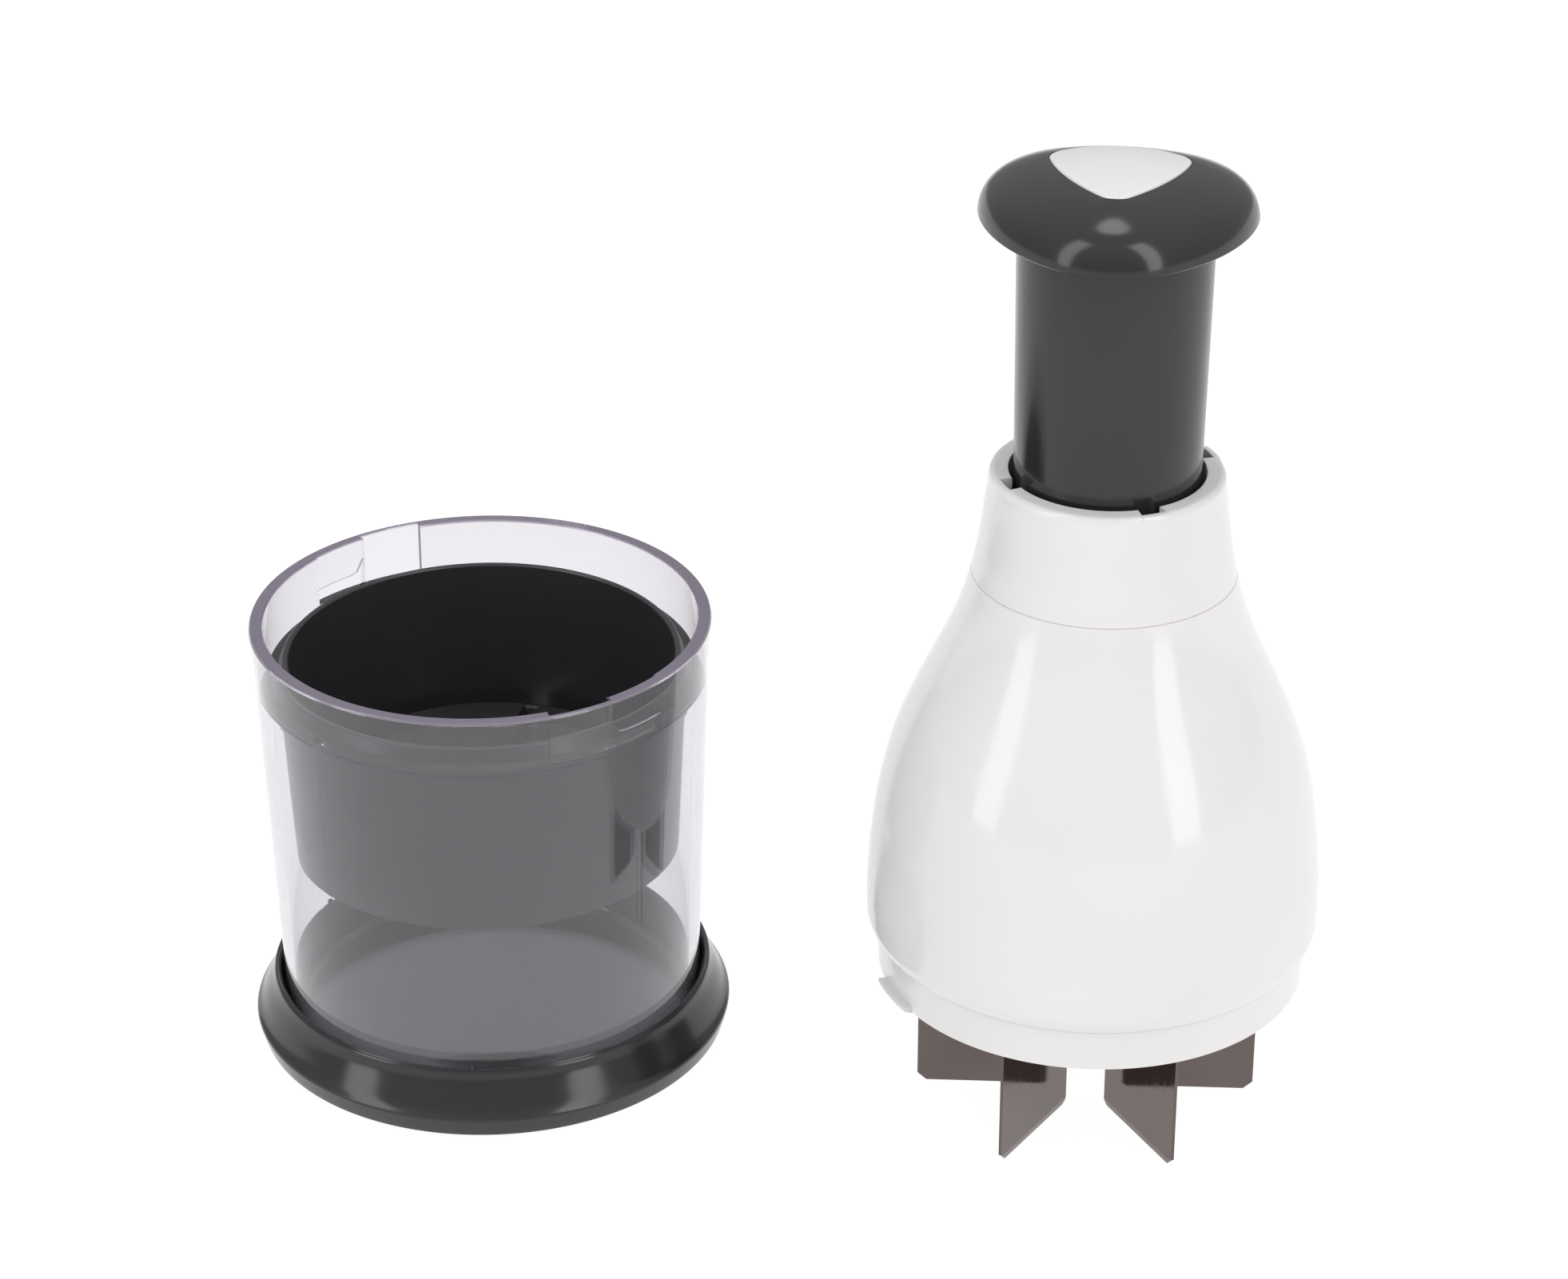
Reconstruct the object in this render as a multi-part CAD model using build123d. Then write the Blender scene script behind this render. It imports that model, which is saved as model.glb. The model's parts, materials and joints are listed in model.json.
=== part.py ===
from build123d import *
import math
import os

# Hand food chopper in two free-standing groups: a container group and a chopping head beside it.
# Millimetres, +Z up. Origin: centre of the container group's foot. +X runs to the head's axis.

# ---- driving dimensions ----
HEAD_X = 121.8              # distance between the two upright axes
STROKE = 45.0               # travel of the shell along the plunger

# base
PAD_R = 40.0
PAD_TOP = 1.6
BASE_UNDER = 0.8
BASE_FOOT_R = 48.0
BASE_FOOT_Z = 5.0            # the flare starts here, above the upright foot band
BASE_LIP_R = 44.0
BASE_TOP = 14.0
BASE_FLOOR = 3.0
BASE_RIBS = 12
GATE_ANGLE = -79.0

# container
CONTAINER_BOTTOM = 3.2
CONTAINER_FLOOR = 5.0
CONTAINER_TOP = 90.9
CONTAINER_RIM_R = 45.0
MOUTH_R = 42.3
MOUTH_LEDGE_Z = 78.6
RECESS_R = 43.9
RECESS_FLOOR_Z = 80.4
RECESS_START = -56.8        # the entry half runs from here to the hook
HOOK_START = -39.8
HOOK_END = -23.3
HOOK_BOTTOM_Z = 83.3
HOOK_FACE_R = 42.65         # the hook's face lies a little behind the bore
HOOK_CORNER = 3.0
KEY_ANGLE = 60.0

# guide cup
CUP_TOP = 83.1
CUP_BOTTOM = 43.0
CUP_FLANGE_R = 42.0
CUP_PLATEAU_R = 34.0
CUP_PLATEAU_Z = 53.5
CUP_GUTTER_Z = 51.0
SLOT_WIDTH = 3.0
SLOT_INNER_R = 6.0
SLOT_OUTER_R = 34.6
SLOT_ANGLE = 30.3

# vanes and hub
VANE_COUNT = 6
VANE_ANGLE = 9.8
VANE_OUTER_R = 33.2
VANE_INNER_R = 8.0
VANE_TOP = 54.0
VANE_THICK = 0.6
VANE_EDGE = 1.4             # height of the ground cutting edge
HUB_BOTTOM = 50.0
HUB_WEB_Z = 53.5
HUB_TOP = 55.5
HUB_R = 34.0
HUB_BOSS_R = 9.2
HUB_BOSS_TOP = 57.2

# shell
SKIRT_BOTTOM = 30.0
SKIRT_BOTTOM_R = 41.2
SKIRT_TOP_R = 41.6
JOINT_Z = 38.3              # where the skirt ring meets the bell
SPIGOT_R = 40.9
SPIGOT_TOP = 46.0
LUG_R = 43.0
LUG_HEIGHT = 1.6
LUG_LEAD_IN = 0.8           # height of the sloped lower edge
LUG_START = 208.0
LUG_SPAN = 16.0
BELL_WALL = 2.6
SEAM_Z = 114.2
SEAM_R = 24.9
NECK_TOP = 135.0
NECK_BORE_R = 18.3
NECK_SLEEVE_R = 22.2
NECK_SLEEVE_BOTTOM = 106.0
NOTCH_ANGLE = 33.0
NOTCH_WIDTH = 4.6
NOTCH_R = 20.5
NOTCH_BOTTOM = 123.0

# guide plate
PLATE_BOTTOM = 57.5
PLATE_WEB = 59.0
PLATE_TOP = 61.5
PLATE_R = 39.8
TOWER_R = 9.0
TOWER_TOP = 112.0
SCREW_CIRCLE_R = 31.0
SCREW_ANGLE = 30.0
BOSS_R = 3.6

# plunger
SHAFT_R = 5.0
RUNNING_GAP = 0.08
SHAFT_BOTTOM = 54.0
SHAFT_TOP = 181.5
STEM_BOTTOM = 107.0
STEM_BOTTOM_R = 17.0
STEM_TOP_R = 18.05
STEM_WALL = 2.2
KNOB_BOTTOM = 183.5
KNOB_TOP = 194.1            # of the cap, beside the inlay
KNOB_CORNER_OFFSET = 9.5    # centre of a corner arc, from the axis
KNOB_CORNER_R = 17.3
KNOB_MID_SIDE = 23.8
KNOB_FRONT = -84.0          # direction of one corner
KNOB_WALL = 2.3
KNOB_CAVITY_TOP = 190.5
INLAY_TOP = 195.0
INLAY_FLOOR = 192.2
INLAY_CROWN_R = 75.0
INLAY_CORNER_OFFSET = 10.7
INLAY_CORNER_R = 3.5
INLAY_MID_SIDE = 10.4

# spring
SPRING_R = 11.8
SPRING_WIRE_R = 0.8
SPRING_COILS = 16
SPRING_BOTTOM = PLATE_TOP
SPRING_TOP = 180.0
WASHER_THICK = 1.2

# The knob's dome: (inset from the rim's outline, height above the rim).
DOME_CURVE = [(0, 0), (0.35, 2.0), (1.2, 4.0), (2.6, 5.7), (4.7, 7.2), (7.9, 8.7), (11.5, 9.9), (15.0, 10.6)]

# The bell's outer curve: (radius, height) from the belly to the neck seam.
BELL_CURVE = [(43.65, 46.0), (42.7, 60.0), (38.4, 80.0), (29.6, 100.0), (SEAM_R, SEAM_Z)]


# ---- helpers ----
def turned(*points):
    """Solid of revolution about Z of a closed outline of (radius, height) points."""
    outline = make_face(Polyline(*points, close=True))
    return revolve(Plane.XZ * outline, Axis.Z)


def turned_edges(edges):
    """Solid of revolution about Z of a closed loop of edges drawn in (radius, height)."""
    outline = make_face(Curve() + edges)
    return revolve(Plane.XZ * outline, Axis.Z)


def tube(inner_r, outer_r, low, high):
    return turned((inner_r, low), (outer_r, low), (outer_r, high), (inner_r, high))


def rod(radius, low, high):
    return Pos(0, 0, (low + high) / 2) * Cylinder(radius, high - low)


def sector(points, start, span):
    """Part of a turned solid from the angle start, through span degrees."""
    outline = make_face(Polyline(*points, close=True))
    return Rot(0, 0, start) * revolve(Plane.XZ * outline, Axis.Z, span)


def ring_sector(inner_r, outer_r, low, high, start, span):
    points = [(inner_r, low), (outer_r, low), (outer_r, high), (inner_r, high)]
    return sector(points, start, span)


def bar(inner_r, outer_r, width, low, high, angle):
    """Radial bar of the given width, between two radii and two heights."""
    centre = Pos((inner_r + outer_r) / 2, 0, (low + high) / 2)
    return Rot(0, 0, angle) * centre * Box(outer_r - inner_r, width, high - low)


def at_angle(shape, radius, angle):
    return Rot(0, 0, angle) * Pos(radius, 0, 0) * shape


def rounded_triangle(corner_offset, corner_r, mid_side, first_angle):
    """Face of three corner arcs and three bulged sides, all tangent."""
    reach = mid_side - corner_r
    back = (corner_offset**2 - reach**2) / (2 * reach - corner_offset)

    def polar(radius, angle):
        return Vector(radius * math.cos(math.radians(angle)), radius * math.sin(math.radians(angle)))

    def joint_point(corner_angle, side_angle):
        centre = polar(corner_offset, corner_angle)
        direction = (centre + polar(back, side_angle)).normalized()
        return centre + direction * corner_r

    edges = []
    for k in range(3):
        corner = first_angle + 120 * k
        before = joint_point(corner, corner - 60)
        after = joint_point(corner, corner + 60)
        following = joint_point(corner + 120, corner + 60)
        edges.append(ThreePointArc(before, polar(corner_offset + corner_r, corner), after))
        edges.append(ThreePointArc(after, polar(mid_side, corner + 60), following))
    return make_face(Curve() + edges)


def prism(face, low, high):
    return extrude(Pos(0, 0, low) * face, high - low)


def cross_recess(size, width, low, high):
    """Cutter for a cross-head screw's recess."""
    height = high - low
    middle = Pos(0, 0, (low + high) / 2)
    return middle * (Box(size, width, height) + Box(width, size, height))


# ---- container group ----
def make_anti_slip_pad():
    return turned((0, 0), (PAD_R - 0.4, 0), (PAD_R, 0.4), (PAD_R, PAD_TOP), (0, PAD_TOP))


def make_base():
    foot = Polyline((0, PAD_TOP), (PAD_R + 0.1, PAD_TOP), (PAD_R + 0.1, BASE_UNDER), (45.4, BASE_UNDER))
    foot_round = ThreePointArc((45.4, BASE_UNDER), (46.7, 1.3), (47.4, 2.6))
    band = Line((47.4, 2.6), (BASE_FOOT_R, BASE_FOOT_Z))
    flare = ThreePointArc((BASE_FOOT_R, BASE_FOOT_Z), (45.8, 8.8), (BASE_LIP_R, 13.4))
    lip = Polyline((BASE_LIP_R, 13.4), (43.5, BASE_TOP), (42.95, BASE_TOP), (42.95, 13.3), (42.5, 13.3))
    inside = Polyline((42.5, 13.3), (42.1, BASE_FLOOR), (0, BASE_FLOOR), (0, PAD_TOP))
    base = turned_edges([foot, foot_round, band, flare, lip, inside])
    pitch = 360 / BASE_RIBS
    rib_angle = 2.0
    hollow = [(43.0, BASE_UNDER - 1), (45.2, BASE_UNDER - 1), (46.0, 4.8), (44.9, 7.0), (43.6, 7.0)]
    for k in range(BASE_RIBS):
        base -= sector(hollow, pitch * k + rib_angle / 2, pitch - rib_angle)
    gate = at_angle(rod(0.45, BASE_TOP - 0.5, BASE_TOP + 0.5), 43.3, GATE_ANGLE)
    return base + gate


def recess_cutter():
    """One bayonet recess: entry half, channel under the hook, and the hook's thinner face."""
    above = CONTAINER_TOP + 1
    inner = MOUTH_R - 0.8
    entry_span = HOOK_START - RECESS_START
    hook_span = HOOK_END - HOOK_START
    cutter = ring_sector(inner, RECESS_R, RECESS_FLOOR_Z, above, RECESS_START, entry_span)
    cutter += ring_sector(inner, RECESS_R, RECESS_FLOOR_Z, HOOK_BOTTOM_Z, HOOK_START, hook_span)
    cutter += ring_sector(inner, HOOK_FACE_R, RECESS_FLOOR_Z, above, HOOK_START, hook_span)
    corner_angle = HOOK_START + math.degrees(HOOK_CORNER / RECESS_R)
    corner_z = HOOK_BOTTOM_Z + HOOK_CORNER
    block = Pos(MOUTH_R, -HOOK_CORNER / 2, corner_z - HOOK_CORNER / 2) * Box(6, HOOK_CORNER, HOOK_CORNER)
    round_off = Pos(MOUTH_R, 0, corner_z) * Rot(0, 90, 0) * Cylinder(HOOK_CORNER, 8)
    corner = Rot(0, 0, corner_angle) * (block - round_off)
    return cutter + (corner & rod(RECESS_R, RECESS_FLOOR_Z, above))


def make_container():
    container = turned(
        (0, CONTAINER_BOTTOM), (40.3, CONTAINER_BOTTOM), (41.3, 4.0), (41.9, 14.0),
        (44.25, MOUTH_LEDGE_Z), (CONTAINER_RIM_R, 90.5), (44.7, CONTAINER_TOP),
        (42.6, CONTAINER_TOP), (MOUTH_R, 90.6), (MOUTH_R, MOUTH_LEDGE_Z), (41.4, MOUTH_LEDGE_Z),
        (39.5, 7.4), (38.9, 5.8), (37.6, CONTAINER_FLOOR), (0, CONTAINER_FLOOR))
    for turn in (0, 180):
        container -= Rot(0, 0, turn) * recess_cutter()
        container += bar(41.2, MOUTH_R + 0.4, 2.0, MOUTH_LEDGE_Z, 80.0, KEY_ANGLE + turn)
    return container


def make_guide_cup():
    cup = turned(
        (38.0, CUP_TOP), (38.7, CUP_TOP), (39.0, 82.8), (40.1, 80.4), (CUP_FLANGE_R, 79.8),
        (CUP_FLANGE_R, 78.8), (39.7, 78.8), (37.9, CUP_BOTTOM), (36.5, CUP_BOTTOM), (36.8, 49.4),
        (32.4, 49.4), (32.4, 51.7), (0, 51.7), (0, CUP_PLATEAU_Z), (33.7, CUP_PLATEAU_Z),
        (CUP_PLATEAU_R, 53.2), (CUP_PLATEAU_R, CUP_GUTTER_Z), (36.4, CUP_GUTTER_Z), (36.8, 51.5),
        (37.75, 82.8))
    for k in range(VANE_COUNT):
        cup -= bar(SLOT_INNER_R, SLOT_OUTER_R, SLOT_WIDTH, 49.0, 54.0, SLOT_ANGLE + 60 * k)
    for turn in (0, 180):
        cup -= bar(40.8, 43.0, 2.8, 78.0, 80.4, KEY_ANGLE + turn)
    return cup


# ---- shell of the head ----
def make_skirt_ring():
    ring = turned(
        (40.3, SKIRT_BOTTOM), (40.9, SKIRT_BOTTOM), (SKIRT_BOTTOM_R, 30.3), (SKIRT_TOP_R, JOINT_Z),
        (SPIGOT_R, JOINT_Z), (SPIGOT_R, SPIGOT_TOP), (39.4, SPIGOT_TOP), (39.4, 34.2), (40.3, 33.0))
    lug_top = SKIRT_BOTTOM + LUG_HEIGHT
    lug = [(40.9, SKIRT_BOTTOM), (41.3, SKIRT_BOTTOM), (LUG_R, SKIRT_BOTTOM + LUG_LEAD_IN),
           (LUG_R, lug_top - 0.3), (LUG_R - 0.3, lug_top), (40.9, lug_top)]
    for turn in (0, 180):
        ring += sector(lug, LUG_START + turn, LUG_SPAN)
    return ring


def bell_solid(inset, low):
    """The bell's outer form, or its inner form when inset by the wall."""
    curve = [(r - inset, z) for r, z in BELL_CURVE]
    side = Spline(*curve, tangents=[(-0.02, 1), (-0.22, 1)])
    axis_side = Polyline(curve[-1], (0, SEAM_Z), (0, low))
    return side, axis_side


def make_bell_housing():
    side, axis_side = bell_solid(0, JOINT_Z)
    belly = BELL_CURVE[0]
    foot = Line((0, JOINT_Z), (SKIRT_TOP_R, JOINT_Z))
    foot_round = ThreePointArc((SKIRT_TOP_R, JOINT_Z), (43.05, 40.0), (43.6, 42.5))
    upright = Line((43.6, 42.5), belly)
    outer = turned_edges([foot, foot_round, upright, side, axis_side])

    side, axis_side = bell_solid(BELL_WALL, SPIGOT_TOP)
    ledge = Polyline((0, SPIGOT_TOP), (belly[0] - BELL_WALL, SPIGOT_TOP))
    hollow = turned_edges([ledge, side, axis_side])
    socket = rod(SPIGOT_R + 0.05, JOINT_Z - 1, SPIGOT_TOP)

    bell = outer - hollow - socket
    for k in range(3):
        angle = SCREW_ANGLE + 120 * k
        post = at_angle(rod(BOSS_R, PLATE_TOP, SEAM_Z), SCREW_CIRCLE_R, angle)
        web = bar(SCREW_CIRCLE_R, belly[0], 1.8, 66.0, 90.0, angle)
        pilot = at_angle(rod(1.3, PLATE_TOP - 1, PLATE_TOP + 12), SCREW_CIRCLE_R, angle)
        inside_only = outer - rod(SEAM_R, SEAM_Z - 18, SEAM_Z + 1)
        bell += (post + web) & inside_only
        bell -= pilot
    return bell


def make_neck_collar():
    skin = Polyline((NECK_SLEEVE_R, SEAM_Z), (24.65, SEAM_Z), (24.85, SEAM_Z + 0.25))
    flank = Spline((24.85, SEAM_Z + 0.25), (23.65, 120.5), (22.5, 129.5), (22.1, 133.2))
    rim_round = ThreePointArc((22.1, 133.2), (21.5, 134.5), (20.2, NECK_TOP))
    bore = Polyline((20.2, NECK_TOP), (NECK_BORE_R + 0.15, NECK_TOP), (NECK_BORE_R, 134.85),
                    (NECK_BORE_R, NECK_SLEEVE_BOTTOM), (20.8, NECK_SLEEVE_BOTTOM),
                    (NECK_SLEEVE_R, 107.4), (NECK_SLEEVE_R, SEAM_Z))
    collar = turned_edges([skin, flank, rim_round, bore])
    for k in range(4):
        collar -= bar(17.0, NOTCH_R, NOTCH_WIDTH, NOTCH_BOTTOM, NECK_TOP + 1, NOTCH_ANGLE + 90 * k)
    return collar


def make_guide_plate():
    bore_r = SHAFT_R + RUNNING_GAP
    plate = turned(
        (bore_r, PLATE_BOTTOM), (17.0, PLATE_BOTTOM), (17.0, PLATE_WEB), (37.6, PLATE_WEB),
        (37.6, PLATE_BOTTOM), (PLATE_R, PLATE_BOTTOM), (PLATE_R, PLATE_TOP), (TOWER_R, PLATE_TOP),
        (TOWER_R, TOWER_TOP - 1), (TOWER_R - 1, TOWER_TOP), (bore_r, TOWER_TOP))
    for k in range(6):
        plate += bar(20.5, 37.0, 1.6, PLATE_TOP - 0.5, PLATE_TOP + 3.5, 60 * k)
    for k in range(3):
        angle = SCREW_ANGLE + 120 * k
        plate += at_angle(rod(4.6, PLATE_BOTTOM, PLATE_WEB + 0.5), SCREW_CIRCLE_R, angle)
        plate -= at_angle(rod(3.3, PLATE_BOTTOM - 1, PLATE_WEB + 0.2), SCREW_CIRCLE_R, angle)
        plate -= at_angle(rod(1.7, PLATE_BOTTOM, PLATE_TOP + 1), SCREW_CIRCLE_R, angle)
    return plate


def make_plate_screws():
    screw = turned(
        (0, 57.7), (2.4, 57.7), (3.0, 58.3), (3.0, PLATE_WEB + 0.2), (1.25, PLATE_WEB + 0.2),
        (1.25, 70.0), (0.6, 71.5), (0, 71.5))
    screw -= cross_recess(3.0, 0.7, 57.0, 58.6)
    return Compound([at_angle(screw, SCREW_CIRCLE_R, SCREW_ANGLE + 120 * k) for k in range(3)])


def make_return_spring():
    low = SPRING_BOTTOM + SPRING_WIRE_R
    length = SPRING_TOP - SPRING_BOTTOM - 2 * SPRING_WIRE_R
    path = Pos(0, 0, low) * Helix(pitch=length / SPRING_COILS, height=length, radius=SPRING_R)
    section = Plane(origin=path @ 0, z_dir=path % 0) * Circle(SPRING_WIRE_R)
    return sweep(section, path=path, is_frenet=True)


# ---- plunger ----
def make_thrust_washer():
    return tube(8.0, 14.6, SPRING_TOP, SPRING_TOP + WASHER_THICK)


def knob_outline(inset):
    return rounded_triangle(KNOB_CORNER_OFFSET, KNOB_CORNER_R - inset, KNOB_MID_SIDE - inset, KNOB_FRONT)


def make_stem():
    web_bottom = SHAFT_TOP
    web_top = 185.4
    stem = turned(
        (STEM_BOTTOM_R - STEM_WALL, STEM_BOTTOM), (STEM_BOTTOM_R, STEM_BOTTOM),
        (STEM_TOP_R, KNOB_BOTTOM), (STEM_TOP_R, web_top), (2.6, web_top), (2.6, web_bottom),
        (SHAFT_R, web_bottom), (SHAFT_R, 168.0), (7.6, 168.0), (7.6, web_bottom),
        (STEM_TOP_R - STEM_WALL, web_bottom))
    flange = prism(knob_outline(1.0), KNOB_BOTTOM, web_top) - rod(15.0, KNOB_BOTTOM - 1, web_top + 1)
    return stem + flange


def knob_dome(inset, height):
    """Solid dome of the given height, over the rim's outline made smaller by inset."""
    scale = height / DOME_CURVE[-1][1]
    sections = [Pos(0, 0, KNOB_BOTTOM + rise * scale) * knob_outline(inset + step * scale)
                for step, rise in DOME_CURVE]
    return loft(sections)


def make_knob_cap():
    dome = knob_dome(0, KNOB_TOP - KNOB_BOTTOM)
    cavity = knob_dome(KNOB_WALL, KNOB_CAVITY_TOP - KNOB_BOTTOM)
    seat = prism(knob_outline(1.0), KNOB_BOTTOM - 1, 185.4)
    pocket = prism(inlay_outline(0.05), INLAY_FLOOR, KNOB_TOP + 1)
    return dome - cavity - seat - pocket


def inlay_outline(outset):
    return rounded_triangle(INLAY_CORNER_OFFSET, INLAY_CORNER_R + outset, INLAY_MID_SIDE + outset, KNOB_FRONT)


def make_knob_inlay():
    crown = Pos(0, 0, INLAY_TOP - INLAY_CROWN_R) * Sphere(INLAY_CROWN_R)
    return prism(inlay_outline(0), INLAY_FLOOR, INLAY_TOP + 1) & crown


def make_shaft():
    shaft = rod(SHAFT_R, SHAFT_BOTTOM, SHAFT_TOP)
    shaft -= rod(1.9, SHAFT_BOTTOM - 1, SHAFT_BOTTOM + 14)
    shaft -= rod(1.9, SHAFT_TOP - 14, SHAFT_TOP + 1)
    return shaft


def make_shaft_screw_top():
    head_bottom = 185.4
    screw = turned(
        (0, 169.0), (1.85, 169.0), (1.85, head_bottom), (4.4, head_bottom), (4.4, 186.8),
        (3.2, 187.9), (0, 187.9))
    return screw - cross_recess(4.6, 1.0, 186.5, 188.5)


def make_blade_hub():
    hub = turned(
        (SHAFT_R, SHAFT_BOTTOM), (SHAFT_R, HUB_BOSS_TOP), (HUB_BOSS_R, HUB_BOSS_TOP),
        (HUB_BOSS_R, HUB_TOP), (HUB_R, HUB_TOP), (HUB_R, 51.0), (32.2, 51.0), (32.2, HUB_WEB_Z),
        (11.0, HUB_WEB_Z), (11.0, HUB_BOTTOM), (4.3, HUB_BOTTOM), (4.3, 52.6), (2.1, 52.6),
        (2.1, SHAFT_BOTTOM))
    for k in range(VANE_COUNT):
        angle = VANE_ANGLE + 60 * k
        hub += bar(10.0, 33.4, 3.8, HUB_BOTTOM, HUB_WEB_Z + 0.5, angle)
    for k in range(VANE_COUNT):
        angle = VANE_ANGLE + 60 * k
        hub -= bar(VANE_INNER_R, VANE_OUTER_R, VANE_THICK, HUB_BOTTOM - 1, VANE_TOP, angle)
    return hub


def make_shaft_screw_bottom():
    screw = turned((0, 50.2), (3.4, 50.2), (4.1, 50.9), (4.1, 52.6), (1.85, 52.6), (1.85, 66.0), (0, 66.0))
    return screw - cross_recess(4.2, 0.9, 49.0, 51.6)


def make_stop_washer():
    return tube(HUB_BOSS_R + 0.1, 15.0, HUB_TOP, HUB_BOSS_TOP)


def make_vane():
    """Flat blade along +X with chamfered lower corners and a ground lower edge."""
    outer_chamfer = 1.8
    inner_chamfer = 0.8
    outline = Polyline(
        (VANE_INNER_R, VANE_TOP), (VANE_INNER_R, inner_chamfer), (VANE_INNER_R + inner_chamfer, 0),
        (VANE_OUTER_R - outer_chamfer, 0), (VANE_OUTER_R, outer_chamfer), (VANE_OUTER_R, VANE_TOP),
        close=True)
    plate = extrude(Plane.XZ * make_face(outline), VANE_THICK / 2, both=True)
    half = VANE_THICK / 2
    edge_half = 0.06
    section = Polyline(
        (-half, VANE_TOP), (-half, VANE_EDGE), (-edge_half, 0), (edge_half, 0), (half, VANE_EDGE),
        (half, VANE_TOP), close=True)
    grind = extrude(Plane.YZ * make_face(section), VANE_OUTER_R + 1)
    return plate & grind


# ---- output ----
CONTAINER_GROUP = {
    "anti_slip_pad": make_anti_slip_pad,
    "base": make_base,
    "container": make_container,
    "guide_cup": make_guide_cup,
}
HEAD_GROUP = {
    "skirt_ring": make_skirt_ring,
    "bell_housing": make_bell_housing,
    "neck_collar": make_neck_collar,
    "guide_plate": make_guide_plate,
    "plate_screws": make_plate_screws,
    "return_spring": make_return_spring,
    "thrust_washer": make_thrust_washer,
    "stem": make_stem,
    "knob_cap": make_knob_cap,
    "knob_inlay": make_knob_inlay,
    "shaft": make_shaft,
    "shaft_screw_top": make_shaft_screw_top,
    "blade_hub": make_blade_hub,
    "shaft_screw_bottom": make_shaft_screw_bottom,
    "stop_washer": make_stop_washer,
}

os.makedirs("parts", exist_ok=True)
for name, make in CONTAINER_GROUP.items():
    export_step(make(), f"parts/{name}.step")
for name, make in HEAD_GROUP.items():
    export_step(Pos(HEAD_X, 0, 0) * make(), f"parts/{name}.step")
for k in range(VANE_COUNT):
    placed = Pos(HEAD_X, 0, 0) * Rot(0, 0, VANE_ANGLE + 60 * k) * make_vane()
    export_step(placed, f"parts/vane_{k + 1}.step")
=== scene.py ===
import json
import math

import bmesh
import bpy
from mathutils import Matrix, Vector


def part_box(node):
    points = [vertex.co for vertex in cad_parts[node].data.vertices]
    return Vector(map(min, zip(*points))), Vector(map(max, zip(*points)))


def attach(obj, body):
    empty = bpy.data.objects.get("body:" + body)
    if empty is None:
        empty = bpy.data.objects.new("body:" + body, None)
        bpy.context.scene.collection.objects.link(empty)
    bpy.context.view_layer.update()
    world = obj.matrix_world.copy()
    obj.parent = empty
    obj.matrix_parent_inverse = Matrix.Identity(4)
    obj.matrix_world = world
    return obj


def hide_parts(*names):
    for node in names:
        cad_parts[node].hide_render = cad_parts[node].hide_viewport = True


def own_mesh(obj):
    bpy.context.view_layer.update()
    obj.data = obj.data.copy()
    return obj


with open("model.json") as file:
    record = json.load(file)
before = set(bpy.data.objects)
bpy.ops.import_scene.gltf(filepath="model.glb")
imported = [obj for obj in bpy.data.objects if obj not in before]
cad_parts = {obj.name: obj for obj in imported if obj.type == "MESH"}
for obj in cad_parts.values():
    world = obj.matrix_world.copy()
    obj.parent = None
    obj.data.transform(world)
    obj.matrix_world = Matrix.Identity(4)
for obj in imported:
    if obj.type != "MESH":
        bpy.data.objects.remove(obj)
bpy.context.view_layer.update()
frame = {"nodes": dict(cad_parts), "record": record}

# Profiles are (radius, height) points in millimetres; a third number is the corner's fillet radius.
MM = 0.001
HEAD_X = (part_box("shaft")[0].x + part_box("shaft")[1].x) / 2 / MM
CONTAINER_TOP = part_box("container")[1].z / MM
RIM_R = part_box("container")[1].x / MM
NECK_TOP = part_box("neck_collar")[1].z / MM
KNOB_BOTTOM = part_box("knob_cap")[0].z / MM
INLAY_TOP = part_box("knob_inlay")[1].z / MM
SEAM_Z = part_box("bell_housing")[1].z / MM
JOINT_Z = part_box("bell_housing")[0].z / MM
SKIRT_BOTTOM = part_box("skirt_ring")[0].z / MM
SPRING_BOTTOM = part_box("return_spring")[0].z / MM
SPRING_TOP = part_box("return_spring")[1].z / MM
TURN_STEP = 2.0             # degrees between two columns of a lathe
SUPPORT_GAP = 0.25          # distance of a support point from its corner


# ---- camera ----
CAMERA_PLACE = Vector((222.7, -714.7, 471.3)) * MM
CAMERA_PITCH = 27.34        # degrees below the horizon
CAMERA_TURN = 12.78         # degrees from looking along +Y
CAMERA_LENS = 98.78


def make_camera():
    data = bpy.data.cameras.new("camera")
    data.lens = CAMERA_LENS
    data.sensor_width = 36
    data.clip_start = 0.01
    data.clip_end = 20
    camera = bpy.data.objects.new("camera", data)
    camera.location = CAMERA_PLACE
    camera.rotation_euler = (math.radians(90 - CAMERA_PITCH), 0, math.radians(CAMERA_TURN))
    bpy.context.scene.collection.objects.link(camera)
    bpy.context.scene.camera = camera


# ---- materials ----
def new_material(name):
    material = bpy.data.materials.new(name)
    material.use_nodes = True
    nodes = material.node_tree.nodes
    return material, nodes, material.node_tree.links, nodes["Principled BSDF"]


def object_noise(nodes, links, scale, detail=2.0, stretch=(1, 1, 1)):
    """Noise in the object's own coordinates, which are the row frame's."""
    coordinates = nodes.new("ShaderNodeTexCoord")
    mapping = nodes.new("ShaderNodeMapping")
    mapping.inputs["Scale"].default_value = stretch
    noise = nodes.new("ShaderNodeTexNoise")
    noise.inputs["Scale"].default_value = scale
    noise.inputs["Detail"].default_value = detail
    links.new(coordinates.outputs["Object"], mapping.inputs["Vector"])
    links.new(mapping.outputs["Vector"], noise.inputs["Vector"])
    return noise.outputs["Fac"]


def object_height(nodes, links):
    coordinates = nodes.new("ShaderNodeTexCoord")
    split = nodes.new("ShaderNodeSeparateXYZ")
    links.new(coordinates.outputs["Object"], split.inputs["Vector"])
    return split.outputs["Z"]


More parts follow.
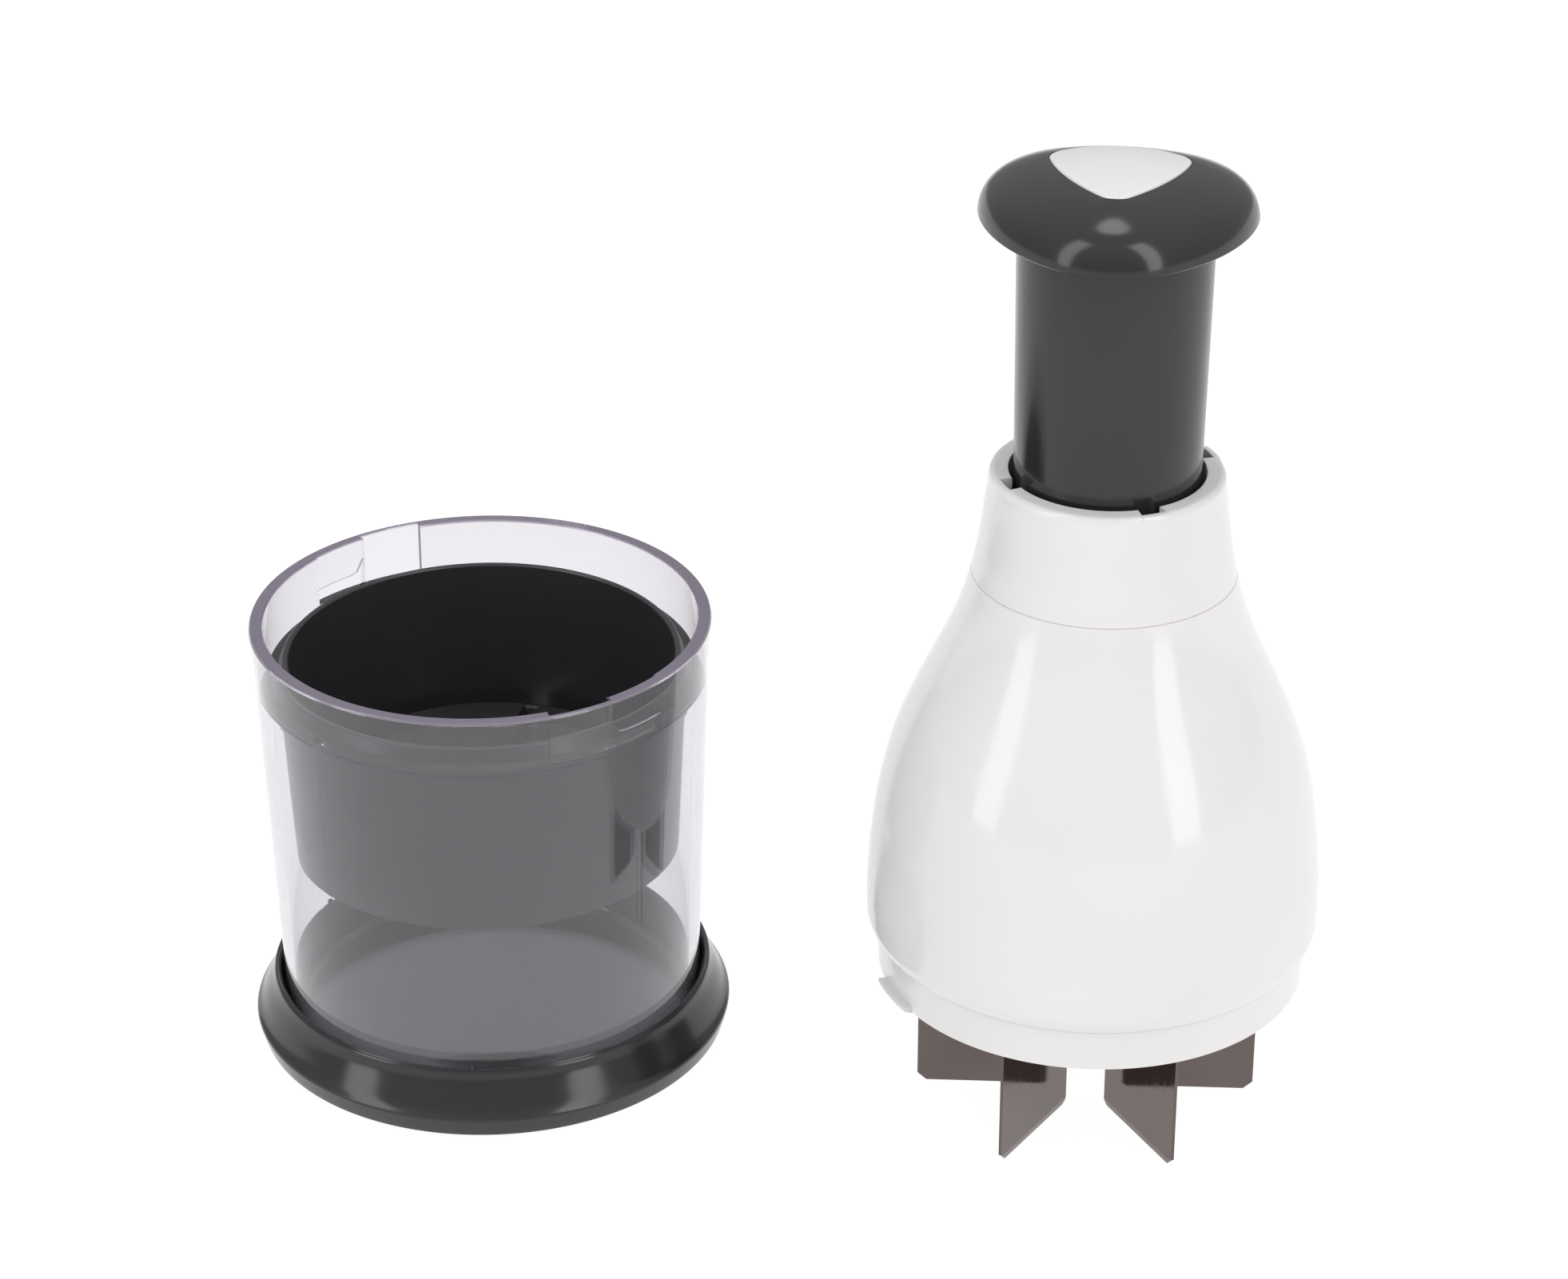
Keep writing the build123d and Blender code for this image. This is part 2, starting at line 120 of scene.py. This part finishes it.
def spread(nodes, links, source, start, end, low=0.0, high=1.0):
    """Maps a value from the range start..end to low..high, clamped."""
    node = nodes.new("ShaderNodeMapRange")
    node.inputs["From Min"].default_value = start
    node.inputs["From Max"].default_value = end
    node.inputs["To Min"].default_value = low
    node.inputs["To Max"].default_value = high
    links.new(source, node.inputs["Value"])
    return node.outputs["Result"]


def blend_colors(nodes, links, factor, first, second):
    mix = nodes.new("ShaderNodeMix")
    mix.data_type = "RGBA"
    mix.inputs["A"].default_value = (*first, 1)
    mix.inputs["B"].default_value = (*second, 1)
    links.new(factor, mix.inputs["Factor"])
    return mix.outputs["Result"]


def add_bump(nodes, links, source, shader, strength, distance):
    bump = nodes.new("ShaderNodeBump")
    bump.inputs["Strength"].default_value = strength
    bump.inputs["Distance"].default_value = distance
    links.new(source, bump.inputs["Height"])
    links.new(bump.outputs["Normal"], shader.inputs["Normal"])


def moulded_plastic(name, color, cloud_color, rough, grain_scale, grain_strength):
    """Moulded plastic: faint flow clouds in colour and gloss, and a fine surface grain."""
    material, nodes, links, shader = new_material(name)
    shader.inputs["IOR"].default_value = 1.49
    cloud = object_noise(nodes, links, 28, 3)
    tint = blend_colors(nodes, links, spread(nodes, links, cloud, 0.35, 0.65), color, cloud_color)
    links.new(tint, shader.inputs["Base Color"])
    smudge = object_noise(nodes, links, 70, 4)
    links.new(spread(nodes, links, smudge, 0.3, 0.7, *rough), shader.inputs["Roughness"])
    add_bump(nodes, links, object_noise(nodes, links, grain_scale, 1), shader, grain_strength, 0.00002)
    return material


def clear_plastic():
    """Clear violet-tinted plastic; painted shade on the rim's top: a thin strip turns darker violet and less
    clear, standing in for the deeper tint seen through the wall's length.
    """
    material, nodes, links, shader = new_material("clear_plastic")
    shader.inputs["IOR"].default_value = 1.5
    height = object_height(nodes, links)
    # painted shade: the rim's top 0.5 mm is painted darker violet and made less clear, for the tint seen
    # through the wall's length
    rim = spread(nodes, links, height, (CONTAINER_TOP - 0.5) * MM, (CONTAINER_TOP - 0.15) * MM)
    tint = blend_colors(nodes, links, rim, (0.95, 0.94, 0.97), (0.26, 0.22, 0.30))
    links.new(tint, shader.inputs["Base Color"])
    links.new(spread(nodes, links, rim, 0, 1, 0.97, 0.35), shader.inputs["Transmission Weight"])
    smear = object_noise(nodes, links, 60, 3)
    links.new(spread(nodes, links, smear, 0.3, 0.7, 0.0, 0.03), shader.inputs["Roughness"])
    absorb = nodes.new("ShaderNodeVolumeAbsorption")
    absorb.inputs["Color"].default_value = (0.56, 0.50, 0.61, 1)
    absorb.inputs["Density"].default_value = 50.0
    links.new(absorb.outputs["Volume"], nodes["Material Output"].inputs["Volume"])
    return material


def ground_steel(name, color, dark_color, rough, stretch):
    """Ground steel: fine lines along the grinding direction, in gloss and in tone."""
    material, nodes, links, shader = new_material(name)
    shader.inputs["Metallic"].default_value = 1.0
    lines = object_noise(nodes, links, 1.0, 2, stretch)
    cloud = object_noise(nodes, links, 30, 2)
    tone = blend_colors(nodes, links, spread(nodes, links, cloud, 0.35, 0.65), color, dark_color)
    links.new(tone, shader.inputs["Base Color"])
    links.new(spread(nodes, links, lines, 0.3, 0.7, *rough), shader.inputs["Roughness"])
    add_bump(nodes, links, lines, shader, 0.05, 0.00002)
    return material


WHITE = (0.775, 0.765, 0.76)
WHITE_CLOUD = (0.76, 0.745, 0.74)
DARK = (0.024, 0.024, 0.027)
DARK_CLOUD = (0.020, 0.020, 0.022)
SATIN = (0.030, 0.030, 0.033)
SATIN_CLOUD = (0.026, 0.026, 0.029)
PAD = (0.02, 0.02, 0.02)
PAD_CLOUD = (0.03, 0.03, 0.03)
NATURAL = (0.7, 0.69, 0.64)
NATURAL_CLOUD = (0.66, 0.65, 0.6)
ZINC = (0.6, 0.6, 0.6)
ZINC_CLOUD = (0.52, 0.52, 0.53)
WIRE = (0.4, 0.4, 0.41)
WIRE_CLOUD = (0.33, 0.33, 0.34)
BLADE = (0.16, 0.135, 0.126)
BLADE_CLOUD = (0.13, 0.107, 0.10)
FINE_GRAIN = (300, 300, 300)
GROUND_LINES = (900, 900, 30)
MATERIALS = {
    "soft_pad": moulded_plastic("soft_pad", PAD, PAD_CLOUD, (0.65, 0.8), 900, 0.4),
    "dark_gloss": moulded_plastic("dark_gloss", DARK, DARK_CLOUD, (0.12, 0.20), 900, 0.02),
    "dark_satin": moulded_plastic("dark_satin", SATIN, SATIN_CLOUD, (0.30, 0.38), 400, 0.01),
    "clear_plastic": clear_plastic(),
    "white_gloss": moulded_plastic("white_gloss", WHITE, WHITE_CLOUD, (0.10, 0.17), 700, 0.02),
    "natural_plastic": moulded_plastic("natural_plastic", NATURAL, NATURAL_CLOUD, (0.35, 0.45), 900, 0.1),
    "fastener_steel": ground_steel("fastener_steel", ZINC, ZINC_CLOUD, (0.2, 0.3), FINE_GRAIN),
    "spring_steel": ground_steel("spring_steel", WIRE, WIRE_CLOUD, (0.25, 0.4), FINE_GRAIN),
    "blade_steel": ground_steel("blade_steel", BLADE, BLADE_CLOUD, (0.06, 0.14), GROUND_LINES),
}


def paint_cad_nodes():
    for part in frame["record"]["subparts"]:
        node = frame["nodes"][part["node"]]
        node.data.materials.clear()
        node.data.materials.append(MATERIALS[part["material_slot"]])


# ---- mesh helpers ----
def add_piece(name, build, slot, body, node):
    """Turns a bmesh, in millimetres, into a finished piece that stands for a CAD node."""
    bmesh.ops.remove_doubles(build, verts=build.verts, dist=0.001)
    bmesh.ops.dissolve_degenerate(build, dist=0.0005, edges=build.edges)
    bmesh.ops.recalc_face_normals(build, faces=build.faces)
    bmesh.ops.scale(build, vec=(MM, MM, MM), verts=build.verts)
    mesh = bpy.data.meshes.new(name)
    build.to_mesh(mesh)
    build.free()
    mesh.materials.append(MATERIALS[slot])
    for polygon in mesh.polygons:
        polygon.use_smooth = True
    mesh.set_sharp_from_angle(angle=math.radians(35))
    piece = bpy.data.objects.new(name, mesh)
    bpy.context.scene.collection.objects.link(piece)
    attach(piece, body)
    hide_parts(node)
    return piece


def rounded(points, steps=5):
    """Closed outline with an arc at each corner that has a fillet radius.

    A corner too flat or too short for an arc is repeated, so that every outline keeps its point count.
    """
    outline = []
    count = len(points)
    for k, point in enumerate(points):
        corner = Vector(point[:2])
        if len(point) == 2:
            outline.append(corner)
            continue
        back = Vector(points[k - 1][:2]) - corner
        ahead = Vector(points[(k + 1) % count][:2]) - corner
        half = back.angle(ahead, 0) / 2
        if min(back.length, ahead.length) < 1e-4 or not 0.01 < half < math.pi / 2 - 0.01:
            outline += [corner] * (steps + 1)
            continue
        reach = min(point[2] / math.tan(half), 0.48 * back.length, 0.48 * ahead.length)
        centre = corner + (back.normalized() + ahead.normalized()).normalized() * (reach / math.cos(half))
        first = corner + back.normalized() * reach - centre
        last = corner + ahead.normalized() * reach - centre
        sweep = math.remainder(math.atan2(last.y, last.x) - math.atan2(first.y, first.x), 2 * math.pi)
        for step in range(steps + 1):
            turn = sweep * step / steps
            cos, sin = math.cos(turn), math.sin(turn)
            outline.append(centre + Vector((first.x * cos - first.y * sin, first.x * sin + first.y * cos)))
    return with_supports(outline)


def with_supports(outline):
    """Adds a point near both ends of every segment, so that smooth shading stays flat along it."""
    supported = []
    for k, start in enumerate(outline):
        end = outline[(k + 1) % len(outline)]
        share = min(0.1, SUPPORT_GAP / max((end - start).length, 1e-6))
        supported += [start, start.lerp(end, share), start.lerp(end, 1 - share)]
    return supported


def smooth_curve(points, steps=10):
    """Catmull-Rom curve through points; its ends run straight on."""
    ends = [2 * Vector(points[0]) - Vector(points[1]), 2 * Vector(points[-1]) - Vector(points[-2])]
    chain = [ends[0], *[Vector(p) for p in points], ends[1]]
    curve = []
    for a, b, c, d in zip(chain, chain[1:], chain[2:], chain[3:]):
        for step in range(steps):
            t = step / steps
            curve.append(0.5 * (2 * b + (c - a) * t + (2 * a - 5 * b + 4 * c - d) * t * t
                                + (3 * b - a - 3 * c + d) * t * t * t))
    curve.append(Vector(points[-1]))
    return curve


def lathe(columns, centre_x=0.0):
    """Closed skin through columns of (angle in degrees, outline); two at one angle make a radial wall."""
    build = bmesh.new()
    rings = []
    for angle, outline in columns:
        cos, sin = math.cos(math.radians(angle)), math.sin(math.radians(angle))
        rings.append([build.verts.new((centre_x + p.x * cos, p.x * sin, p.y)) for p in outline])
    skin(build, rings + rings[:1], wrap=True)
    return build


def skin(build, rings, wrap):
    """Quads between neighbouring rings; wrap also joins each ring's last point to its first."""
    for first, second in zip(rings, rings[1:]):
        count = len(first)
        for k in range(count if wrap else count - 1):
            following = (k + 1) % count
            build.faces.new((first[k], second[k], second[following], first[following]))


def angles_between(start, end):
    count = max(1, round((end - start) / TURN_STEP))
    return [start + (end - start) * k / count for k in range(count + 1)]


def sectors(plain, cuts):
    """Columns round the whole turn: plain outline, except for cuts of (start, end, outline maker)."""
    columns = []
    cuts = sorted(cuts, key=lambda cut: cut[0])
    for k, (start, end, outline_at) in enumerate(cuts):
        columns += [(angle, outline_at(angle)) for angle in angles_between(start, end)]
        following = cuts[(k + 1) % len(cuts)][0] + (360 if k == len(cuts) - 1 else 0)
        columns += [(angle, plain) for angle in angles_between(end, following)]
    return columns


# ---- container group ----
CONTAINER_BOTTOM = 3.2
CONTAINER_FLOOR = 5.0
LEDGE_Z = 78.6              # the guide cup hangs on this ledge
# Recess, hook and key come twice, half a turn apart; their angles are in degrees.
RECESS_START = -56.8
HOOK_START = -39.8
HOOK_END = -23.3
RECESS_FLOOR_Z = 80.4
HOOK_BOTTOM_Z = 83.3
HOOK_CORNER = 3.0
MOUTH_R = 42.3
RECESS_R = 43.9
HOOK_FACE_R = 42.65
KEY_ANGLE = 60.0            # keys on the ledge stop the cup turning
KEY_SPAN = 2.8
KEY_RISE = 1.4


def container_outline(channel_r, face_r, hook_z, key_rise=0.0):
    """Section from the bottom's centre up the outside, over the rim and down the inside to the floor."""
    top = CONTAINER_TOP
    ledge_top = LEDGE_Z + key_rise
    return rounded([
        (0, CONTAINER_BOTTOM), (40.6, CONTAINER_BOTTOM, 0.8), (41.3, 4.4, 0.8), (41.9, 14.0),
        (44.25, LEDGE_Z, 3.0), (RIM_R - 0.02, top - 0.6, 0.3), (RIM_R - 0.3, top, 0.25),
        (face_r + 0.25, top, 0.2), (face_r, top - 0.35, 0.2), (face_r, hook_z, 0.25),
        (channel_r, hook_z, 0.2), (channel_r, RECESS_FLOOR_Z, 0.2), (MOUTH_R, RECESS_FLOOR_Z, 0.15),
        (MOUTH_R, ledge_top, 0.1), (41.4, ledge_top, 0.2), (39.5, 7.6, 2.0),
        (38.6, CONTAINER_FLOOR, 2.0), (0, CONTAINER_FLOOR)])


def hook_height(angle, turn):
    """Underside of the hook, which is rounded at the entry side."""
    along = math.radians(angle - HOOK_START - turn) * RECESS_R
    if along >= HOOK_CORNER:
        return HOOK_BOTTOM_Z
    return HOOK_BOTTOM_Z + HOOK_CORNER - math.sqrt(HOOK_CORNER**2 - (HOOK_CORNER - along)**2)


def hook_outline_maker(turn):
    return lambda angle: container_outline(RECESS_R, HOOK_FACE_R, hook_height(angle, turn))


def make_container():
    plain = container_outline(MOUTH_R, MOUTH_R, HOOK_BOTTOM_Z)
    entry = container_outline(RECESS_R, RECESS_R, HOOK_BOTTOM_Z)
    key = container_outline(MOUTH_R, MOUTH_R, HOOK_BOTTOM_Z, KEY_RISE)
    cuts = []
    for turn in (0, 180):
        key_middle = KEY_ANGLE + turn
        cuts.append((RECESS_START + turn, HOOK_START + turn, lambda angle: entry))
        cuts.append((HOOK_START + turn, HOOK_END + turn, hook_outline_maker(turn)))
        cuts.append((key_middle - KEY_SPAN / 2, key_middle + KEY_SPAN / 2, lambda angle: key))
    build = lathe(sectors(plain, cuts))
    return add_piece("container_clear", build, "clear_plastic", "container", "container")


UNDERSIDE_Z = 0.8
HOLLOW_DEPTH = 6.2          # of the hollows between the ribs, at their inner side
HOLLOW_OUTER_DEPTH = 4.0
GATE_ANGLE = -79.0          # moulding gate, a bead on the lip
GATE_RING_R = 43.3
GATE_Z = 13.9
GATE_BEAD_R = 0.45


def base_outline(hollow_top):
    """Flared dish; the underside is hollow between ribs, up to hollow_top times its full height."""
    flare = smooth_curve([(48.0, 5.0), (46.9, 6.4), (45.75, 8.8), (44.6, 11.4), (44.0, 13.4)], 6)
    hollow_z = UNDERSIDE_Z + HOLLOW_DEPTH * hollow_top
    outer_z = UNDERSIDE_Z + HOLLOW_OUTER_DEPTH * hollow_top
    under = [(43.0, UNDERSIDE_Z), (43.6, hollow_z), (44.9, hollow_z), (45.0, outer_z), (45.2, UNDERSIDE_Z)]
    return rounded([
        (0, 3.0), (0, 1.6), (40.1, 1.6), (40.1, UNDERSIDE_Z, 0.15), *under, (46.9, 0.85, 0.9),
        (47.4, 2.6, 0.6), (47.95, 4.75, 0.25), *[(p.x, p.y) for p in flare[1:-1]], (44.0, 13.4, 0.1),
        (43.75, 13.75, 0.1),
        (43.55, 13.65, 0.08), (43.3, 14.0, 0.12), (42.95, 13.9, 0.1), (42.5, 13.3, 0.2),
        (42.1, 3.0, 0.8)])


def make_base():
    rib_count = 12
    rib_span = 2.0
    pitch = 360 / rib_count
    hollow = base_outline(1.0)
    half_rib = rib_span / 2
    starts = [pitch * k for k in range(rib_count)]
    cuts = [(start + half_rib, start + pitch - half_rib, lambda angle: hollow) for start in starts]
    build = lathe(sectors(base_outline(0.0), cuts))
    gate_angle = math.radians(GATE_ANGLE)
    gate = bmesh.ops.create_uvsphere(build, u_segments=16, v_segments=10, radius=GATE_BEAD_R)
    bmesh.ops.scale(build, vec=(1, 1, 1.3), verts=gate["verts"])
    gate_place = (GATE_RING_R * math.cos(gate_angle), GATE_RING_R * math.sin(gate_angle), GATE_Z)
    bmesh.ops.translate(build, vec=gate_place, verts=gate["verts"])
    return add_piece("base_dish", build, "dark_gloss", "base", "base")


# ---- shell of the head ----
LUG_START = 208.0
LUG_SPAN = 16.0
LUG_R = 43.0
LUG_HEIGHT = 1.6
LUG_LEAD_IN = 0.8           # height of the lug's sloped lower edge
SPIGOT_R = 40.9             # of the collar that goes up into the bell
SPIGOT_TOP = 46.0


def skirt_outline(lug_r):
    """Section of the ring; a lug_r below the wall's radius gives the plain wall."""
    bottom = SKIRT_BOTTOM
    lug_top = bottom + LUG_HEIGHT
    return rounded([
        (40.3, bottom, 0.2), (41.2, bottom, 0.25), (max(lug_r, 41.22), bottom + LUG_LEAD_IN, 0.3),
        (max(lug_r, 41.25), lug_top, 0.25), (41.26, lug_top, 0.15),
        (41.6, JOINT_Z - 0.02), (SPIGOT_R, JOINT_Z - 0.02), (SPIGOT_R, SPIGOT_TOP), (39.4, SPIGOT_TOP),
        (39.4, 34.2), (40.3, 33.0)])


def make_skirt_ring():
    lug = skirt_outline(LUG_R)
    cuts = [(LUG_START + turn, LUG_START + LUG_SPAN + turn, lambda angle: lug) for turn in (0, 180)]
    columns = sectors(skirt_outline(0), cuts)
    return add_piece("skirt_band", lathe(columns, HEAD_X), "white_gloss", "shell", "skirt_ring")


NECK_BORE_R = 18.3
NOTCH_COUNT = 4
NOTCH_ANGLE = 33.0
NOTCH_WIDTH = 4.6
NOTCH_R = 20.5
NOTCH_BOTTOM_Z = 123.0


def collar_outline(notch_r):
    flank = smooth_curve([(24.8, SEAM_Z + 0.3), (23.65, 120.5), (22.5, 129.5), (22.1, 132.6)])
    return rounded([
        (22.3, SEAM_Z), (24.65, SEAM_Z), *[(p.x, p.y) for p in flank], (21.9, NECK_TOP, 1.7),
        (notch_r, NECK_TOP, 0.2), (notch_r, NOTCH_BOTTOM_Z, 0.2), (NECK_BORE_R, NOTCH_BOTTOM_Z),
        (NECK_BORE_R, 106.0), (20.8, 106.0), (22.2, 107.4)])


def make_neck_collar():
    notch = collar_outline(NOTCH_R)
    half = math.degrees(NOTCH_WIDTH / (NECK_BORE_R + NOTCH_R))
    centres = [NOTCH_ANGLE + 360 / NOTCH_COUNT * k for k in range(NOTCH_COUNT)]
    cuts = [(angle - half, angle + half, lambda angle: notch) for angle in centres]
    columns = sectors(collar_outline(NECK_BORE_R), cuts)
    return add_piece("collar_ring", lathe(columns, HEAD_X), "white_gloss", "shell", "neck_collar")


# ---- knob ----
KNOB_FRONT = -84.0          # direction of the front corner, in degrees
# Outlines: distance of a corner arc's centre, its radius, and distance of the middle of a side.
KNOB_OUTLINE = (9.5, 17.3, 23.8)
INLAY_OUTLINE = (10.7, 3.5, 10.4)
INLAY_GAP = 0.05            # between the inlay and its pocket
POCKET_FLOOR_Z = 192.2
FLANGE_SEAT_Z = 185.4       # the stem's flange meets the cap here
CAVITY_TOP_Z = 190.0
DOME_CURVE = [(0, 0), (0.35, 2.0), (1.2, 4.0), (2.6, 5.7), (4.7, 7.2), (7.9, 8.7), (11.5, 9.9), (15.0, 10.6)]
INLAY_CROWN_R = 75.0


def triangle_outline(shape, inset, steps=14):
    """Points of a rounded triangle: three corner arcs and three bulged sides, all tangent."""
    offset, corner_r, mid_side = shape
    corner_r -= inset
    mid_side -= inset
    reach = mid_side - corner_r
    back = (offset**2 - reach**2) / (2 * reach - offset)
    points = []
    for k in range(3):
        corner = math.radians(KNOB_FRONT + 120 * k)
        side = corner + math.radians(60)
        centre = Vector((offset * math.cos(corner), offset * math.sin(corner)))
        side_centre = -back * Vector((math.cos(side), math.sin(side)))
        half_corner = math.remainder(math.atan2(*reversed(centre - side_centre)) - corner, 2 * math.pi)
        half_side = math.radians(60) - half_corner
        for step in range(steps):
            angle = corner - half_corner + 2 * half_corner * step / steps
            points.append(centre + corner_r * Vector((math.cos(angle), math.sin(angle))))
        for step in range(steps):
            angle = side - half_side + 2 * half_side * step / steps
            points.append(side_centre + (mid_side + back) * Vector((math.cos(angle), math.sin(angle))))
    return points


def dome_rise(inset):
    curve = smooth_curve(DOME_CURVE, 12)
    for first, second in zip(curve, curve[1:]):
        if inset <= second.x:
            return first.y + (second.y - first.y) * max(0, inset - first.x) / max(1e-6, second.x - first.x)
    return curve[-1].y


def ring_of(build, points, heights):
    return [build.verts.new((HEAD_X + p.x, p.y, z)) for p, z in zip(points, heights)]


def level_ring(build, shape, inset, height):
    points = triangle_outline(shape, inset)
    return ring_of(build, points, [height] * len(points))


def make_knob_cap():
    """Dome with a pocket for the inlay above, and a rim that laps over the stem's flange below."""
    build = bmesh.new()
    rim = triangle_outline(KNOB_OUTLINE, 0)
    pocket = triangle_outline(INLAY_OUTLINE, -INLAY_GAP)
    pocket_edge = [KNOB_BOTTOM + dome_rise(r.length - p.length) for r, p in zip(rim, pocket)]
    inside = [
        (8.0, CAVITY_TOP_Z), (4.0, 188.4), (2.3, FLANGE_SEAT_Z), (1.0, FLANGE_SEAT_Z),
        (1.0, KNOB_BOTTOM), (0.25, KNOB_BOTTOM), (0.05, KNOB_BOTTOM + 0.2)]
    rings = [level_ring(build, KNOB_OUTLINE, inset, height) for inset, height in inside]
    cavity_top = rings[0]
    outer = [p for p in smooth_curve(DOME_CURVE, 6) if 0.02 < p.x < 11.0]
    rings += [level_ring(build, KNOB_OUTLINE, p.x, KNOB_BOTTOM + p.y) for p in outer]
    pocket_floor = level_ring(build, INLAY_OUTLINE, -INLAY_GAP, POCKET_FLOOR_Z)
    rings += [ring_of(build, pocket, pocket_edge), pocket_floor]
    skin(build, rings, wrap=True)
    build.faces.new(pocket_floor)
    build.faces.new(cavity_top)
    return add_piece("knob_dome", build, "dark_gloss", "plunger", "knob_cap")


def crown_height(point):
    return INLAY_TOP - INLAY_CROWN_R + math.sqrt(INLAY_CROWN_R**2 - point.length_squared)


def make_knob_inlay():
    build = bmesh.new()
    floor = level_ring(build, INLAY_OUTLINE, 0, POCKET_FLOOR_Z + INLAY_GAP)
    rings = [floor]
    for inset, drop in ((0, 0.3), (0.06, 0.14), (0.18, 0.04), (0.35, 0.0), (1.2, 0.0)):
        points = triangle_outline(INLAY_OUTLINE, inset)
        rings.append(ring_of(build, points, [crown_height(p) - drop for p in points]))
    edge = triangle_outline(INLAY_OUTLINE, 1.2)
    for share in (0.8, 0.6, 0.4, 0.2):
        points = [p * share for p in edge]
        rings.append(ring_of(build, points, [crown_height(p) for p in points]))
    skin(build, rings, wrap=True)
    build.faces.new(floor)
    build.faces.new(rings[-1])
    return add_piece("knob_badge_blank", build, "white_gloss", "plunger", "knob_inlay")


# ---- spring ----
def make_return_spring():
    """Coil of even pitch with flat-cut wire ends."""
    build = bmesh.new()
    coil_r = 11.8
    wire_r = 0.8
    coils = 16
    steps = 32 * coils
    low = SPRING_BOTTOM + wire_r
    rise = SPRING_TOP - SPRING_BOTTOM - 2 * wire_r
    rings = []
    for step in range(steps + 1):
        turn = 2 * math.pi * coils * step / steps
        out = Vector((math.cos(turn), math.sin(turn), 0))
        centre = Vector((HEAD_X, 0, low + rise * step / steps)) + out * coil_r
        ring = []
        for k in range(10):
            around = 2 * math.pi * k / 10
            offset = out * math.cos(around) + Vector((0, 0, math.sin(around)))
            ring.append(build.verts.new(centre + wire_r * offset))
        rings.append(ring)
    skin(build, rings, wrap=True)
    build.faces.new(rings[0])
    build.faces.new(rings[-1])
    piece = add_piece("coil_spring", build, "spring_steel", "spring_cap", "return_spring")
    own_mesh(piece)
    return piece


# ---- stage and light ----
def make_stage():
    material, _, _, shader = new_material("floor_white")
    shader.inputs["Base Color"].default_value = (0.1, 0.1, 0.1, 1)
    shader.inputs["Roughness"].default_value = 0.95
    shader.inputs["Specular IOR Level"].default_value = 0.0
    shader.inputs["Emission Color"].default_value = (1, 1, 1, 1)
    shader.inputs["Emission Strength"].default_value = 0.97
    mesh = bpy.data.meshes.new("floor")
    half = 4.0
    drop = -0.0002
    corners = [(-half, -half, drop), (half, -half, drop), (half, half, drop), (-half, half, drop)]
    mesh.from_pydata(corners, [], [(0, 1, 2, 3)])
    mesh.materials.append(material)
    floor = bpy.data.objects.new("floor", mesh)
    bpy.context.scene.collection.objects.link(floor)


def make_world():
    """Studio walls: brightest overhead, darker low down."""
    world = bpy.data.worlds.new("studio")
    world.use_nodes = True
    nodes = world.node_tree.nodes
    links = world.node_tree.links
    background = nodes["Background"]
    background.inputs["Color"].default_value = (1, 1, 1, 1)
    coordinates = nodes.new("ShaderNodeTexCoord")
    split = nodes.new("ShaderNodeSeparateXYZ")
    links.new(coordinates.outputs["Generated"], split.inputs["Vector"])
    strength = spread(nodes, links, split.outputs["Z"], 0.0, 0.9, 0.42, 0.76)
    links.new(strength, background.inputs["Strength"])
    bpy.context.scene.world = world


def make_softbox(name, place, target, width, height, power, shape="RECTANGLE"):
    data = bpy.data.lights.new(name, "AREA")
    data.shape = shape
    data.size = width
    data.size_y = height
    data.energy = power
    light = bpy.data.objects.new(name, data)
    light.location = place
    direction = Vector(target) - Vector(place)
    light.rotation_mode = "QUATERNION"
    light.rotation_quaternion = direction.to_track_quat("-Z", "Y")
    bpy.context.scene.collection.objects.link(light)


def make_lights():
    target = (0.06, 0, 0.08)
    make_softbox("strip_left", (-1.0, -0.9, 0.95), target, 0.5, 2.1, 9)
    make_softbox("strip_right", (1.22, -0.72, 0.95), target, 0.5, 2.1, 10)
    make_softbox("octabox", (0.05, 0.3, 1.6), target, 0.5, 0.5, 2.0, "DISK")


make_camera()
make_stage()
make_world()
make_lights()
paint_cad_nodes()
make_container()
make_base()
make_skirt_ring()
make_neck_collar()
make_knob_cap()
make_knob_inlay()
make_return_spring()

scene = bpy.context.scene
scene.view_settings.view_transform = "Standard"
